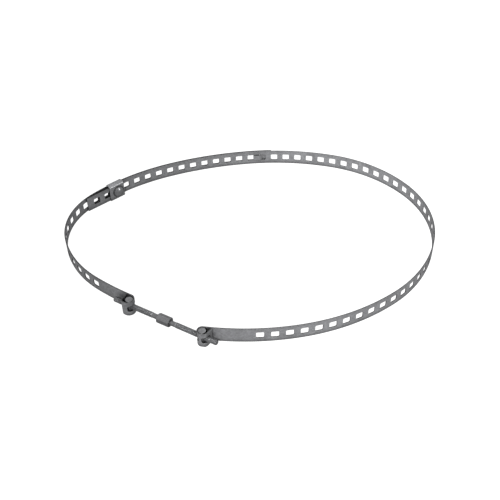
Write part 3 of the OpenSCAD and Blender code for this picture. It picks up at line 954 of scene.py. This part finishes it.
def softened(name, node, width):
    """A welded copy of a CAD node with its edges broken."""
    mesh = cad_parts[node].data.copy()
    shape = bmesh.new()
    shape.from_mesh(mesh)
    bmesh.ops.remove_doubles(shape, verts=shape.verts, dist=SAME_POINT)
    bmesh.ops.dissolve_limit(shape, angle_limit=math.radians(SAME_PLANE),
                             verts=shape.verts, edges=shape.edges)
    shape.to_mesh(mesh)
    shape.free()
    mesh.shade_smooth()
    mesh.set_sharp_from_angle(angle=math.radians(BOLT_SHARP))
    piece = bpy.data.objects.new(name, mesh)
    bpy.context.scene.collection.objects.link(piece)
    edge = piece.modifiers.new("broken_edges", "BEVEL")
    edge.width = width
    edge.segments = BEVEL_STEPS
    edge.limit_method = "ANGLE"
    edge.angle_limit = math.radians(BEVEL_FROM)
    edge.use_clamp_overlap = False
    even_faces(piece)
    print(f"{name}: edges broken by {width / MM:.2f} mm")
    return piece


right_barrel = softened("right_barrel_pin", "right_barrel", 0.5 * MM)
left_barrel = softened("left_barrel_pin", "left_barrel", 0.5 * MM)
buckle_clip = softened("bent_clip", "buckle_clip", 0.3 * MM)

# %% [markdown]
# ## Galvanised steel
# Hot dip leaves a skin of zinc: pale grey, not polished, with soft crystals (spangle) of
# a few millimetres that differ a little in tone and gloss, and dull patches where it has
# weathered. Photographs wrapped round the pieces would be tied to their shapes. Here the
# skin is worked out from a place in the piece: a Voronoi pattern for the crystals, a
# broad noise for the clouds and a fine one for the grain.


# %% Shader nodes
def node(tree, kind, **values):
    """A shader node with its inputs set by name."""
    made = tree.nodes.new(kind)
    for name, value in values.items():
        made.inputs[name.replace("_", " ")].default_value = value
    return made


def remap(tree, value, low, high, at_low, at_high):
    """A value carried from one range to another and kept inside it."""
    made = node(tree, "ShaderNodeMapRange", From_Min=low, From_Max=high, To_Min=at_low,
                To_Max=at_high)
    tree.links.new(value, made.inputs["Value"])
    return made.outputs["Result"]


def combined(tree, operation, first, second):
    """Two numbers made one."""
    made = tree.nodes.new("ShaderNodeMath")
    made.operation = operation
    tree.links.new(first, made.inputs[0])
    tree.links.new(second, made.inputs[1])
    return made.outputs[0]


def zinc_pattern(tree, spangle_mm):
    """Crystals, clouds and grain at each place of the piece, as three outputs."""
    where = tree.nodes.new("ShaderNodeTexCoord")
    crystals = node(tree, "ShaderNodeTexVoronoi", Scale=1000 / spangle_mm)
    clouds = node(tree, "ShaderNodeTexNoise", Scale=45.0, Detail=5.0, Roughness=0.6)
    grain = node(tree, "ShaderNodeTexNoise", Scale=900.0, Detail=3.0)
    for texture in (crystals, clouds, grain):
        tree.links.new(where.outputs["Object"], texture.inputs["Vector"])
    return crystals.outputs["Color"], clouds.outputs[0], grain.outputs[0]


print("patterns: crystals, clouds of about 22 mm, grain of about 1 mm")

# %% [markdown]
# ## Painted shade
# The finish paints shade into the zinc's colour: inside the eyes, under the hook, between
# the straps, on the cut walls of the holes, round the dome's rim and round the hexagon,
# which was forged and left rough. Two things tell the finish where this is. The Ambient
# Occlusion node looks how open a place is within some millimetres, and the number kept in
# the mesh names cut and forged surfaces. Both darken the zinc, and the second also dulls
# it. The shade could be painted on by hand, but what is worked out from the shape stays
# in its place when a size changes.

# %% Painted shade
# Painted shade: crevices within this reach darken the zinc's colour.
CREVICE = 9 * MM
CREVICE_RAYS = 8
SHUT, OPEN, SHUT_TONE = 0.4, 0.96, 0.08
SHADE_TONE_AT_FULL, DULLING_AT_FULL = 0.22, 0.45


def edge_shade_dull(tree):
    """The number of painted shade and dullness that was kept in the mesh."""
    shade_dull = tree.nodes.new("ShaderNodeAttribute")
    shade_dull.attribute_name = "shade_dull"
    return shade_dull.outputs["Fac"]


def with_painted_shade(tree, colour):
    """Painted shade: the colour times two shares, how open the place is and how little shade
    the mesh's number asks for.
    """
    crevice = node(tree, "ShaderNodeAmbientOcclusion", Distance=CREVICE)
    crevice.samples = CREVICE_RAYS
    both = combined(tree, "MULTIPLY",
                    remap(tree, crevice.outputs["AO"], SHUT, OPEN, SHUT_TONE, 1),
                    remap(tree, edge_shade_dull(tree), 0, 1, 1, SHADE_TONE_AT_FULL))
    shaded = tree.nodes.new("ShaderNodeVectorMath")
    shaded.operation = "SCALE"
    tree.links.new(colour, shaded.inputs[0])
    tree.links.new(both, shaded.inputs["Scale"])
    return shaded.outputs[0]


print("crevices are sought within", CREVICE / MM, "mm")

# %% [markdown]
# ## Zinc skin
# Two greys, a little blue, are mixed by the crystals and the clouds. The clouds also
# steer the gloss, and the grain is a faint bump of a tenth of a millimetre. Straps are
# rolled and dull, fittings are brighter, and the domed head is the smoothest.

# %% Zinc skin
METALLIC, CRYSTAL_SHARE = 0.35, 0.28
DARK_AT, LIGHT_AT = 0.3, 0.72
GLOSSIER, DULLER = 0.08, 0.1
GRAIN, GRAIN_H = 0.25, 0.0001


def zinc_grey(tree, crystals, clouds, dark, light):
    """One of two greys, or between them, as crystals and clouds say."""
    red = tree.nodes.new("ShaderNodeSeparateColor")
    tree.links.new(crystals, red.inputs["Color"])
    blend = tree.nodes.new("ShaderNodeMix")
    blend.data_type = "FLOAT"
    blend.inputs[0].default_value = CRYSTAL_SHARE
    tree.links.new(clouds, blend.inputs[2])
    tree.links.new(red.outputs["Red"], blend.inputs[3])
    ramp = tree.nodes.new("ShaderNodeValToRGB")
    stops = zip(ramp.color_ramp.elements, (DARK_AT, LIGHT_AT), (dark, light))
    for stop, place, grey in stops:
        stop.position = place
        stop.color = (grey, grey * 1.01, grey * 1.05, 1)
    tree.links.new(blend.outputs[0], ramp.inputs["Fac"])
    return ramp.outputs["Color"]


def galvanised(name, dark, light, roughness, spangle_mm):
    """Zinc skin of two greys, with its mean roughness and the size of its crystals."""
    made = bpy.data.materials.new(name)
    made.use_nodes = True
    tree = made.node_tree
    shader = tree.nodes["Principled BSDF"]
    shader.inputs["Metallic"].default_value = METALLIC
    crystals, clouds, grain = zinc_pattern(tree, spangle_mm)
    # The zinc's greys with painted shade in crevices and where the mesh's number asks.
    colour = with_painted_shade(tree, zinc_grey(tree, crystals, clouds, dark, light))
    gloss = remap(tree, clouds, 0, 1, roughness - GLOSSIER, roughness + DULLER)
    dulling = remap(tree, edge_shade_dull(tree), 0, 1, 0, DULLING_AT_FULL)
    bump = node(tree, "ShaderNodeBump", Strength=GRAIN, Distance=GRAIN_H)
    tree.links.new(grain, bump.inputs["Height"])
    tree.links.new(colour, shader.inputs["Base Color"])
    tree.links.new(combined(tree, "ADD", gloss, dulling), shader.inputs["Roughness"])
    tree.links.new(bump.outputs["Normal"], shader.inputs["Normal"])
    print(f"{name}: greys {dark} to {light}, roughness {roughness}")
    return made


STRAP_STEEL = galvanised("galvanised_strap", 0.125, 0.2, 0.5, 2.2)
FITTING_STEEL = galvanised("galvanised_fittings", 0.14, 0.24, 0.36, 1.6)
# The barrels take a darker copy of the fittings' zinc.
BARREL_STEEL = galvanised("galvanised_barrels", 0.085, 0.15, 0.36, 1.6)
BOLT_STEEL = galvanised("galvanised_bolts", 0.14, 0.23, 0.34, 1.2)
DOME_STEEL = galvanised("galvanised_dome", 0.1, 0.17, 0.26, 1.2)

# %% [markdown]
# ## Finish and bodies
# Each new piece stands for its CAD node, takes that node's finish and moves with its
# body: the tension bolt turns by itself and the rest is the hoop.

# %% Dress the nodes
DRESS = {"long_strap": (long_strap, STRAP_STEEL, "galvanised_strap", "hoop"),
         "short_strap": (short_strap, STRAP_STEEL, "galvanised_strap", "hoop"),
         "right_barrel": (right_barrel, BARREL_STEEL, "galvanised_fittings", "hoop"),
         "left_barrel": (left_barrel, BARREL_STEEL, "galvanised_fittings", "hoop"),
         "buckle_clip": (buckle_clip, FITTING_STEEL, "galvanised_fittings", "hoop"),
         "clip_bolt": (clip_bolt, DOME_STEEL, "galvanised_bolts", "hoop"),
         "clip_nut": (clip_nut, BOLT_STEEL, "galvanised_bolts", "hoop"),
         "tension_bolt": (tension_bolt, BOLT_STEEL, "galvanised_bolts", "bolt")}
for name, (piece, steel, slot_name, body) in DRESS.items():
    for material_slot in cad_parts[name].material_slots:
        material_slot.material = steel
    piece.data.materials.clear()
    piece.data.materials.append(steel)
    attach(piece, body)
    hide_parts(name)
print("dressed:", ", ".join(DRESS))

# %% [markdown]
# ## Size
# Each box of the straps, bolts and nut was compared with that of its solid as it was made.
# The visual model has to stay inside the box of the solids.

# %% Sizes
print("boxes of the straps, bolts and nut compared above")
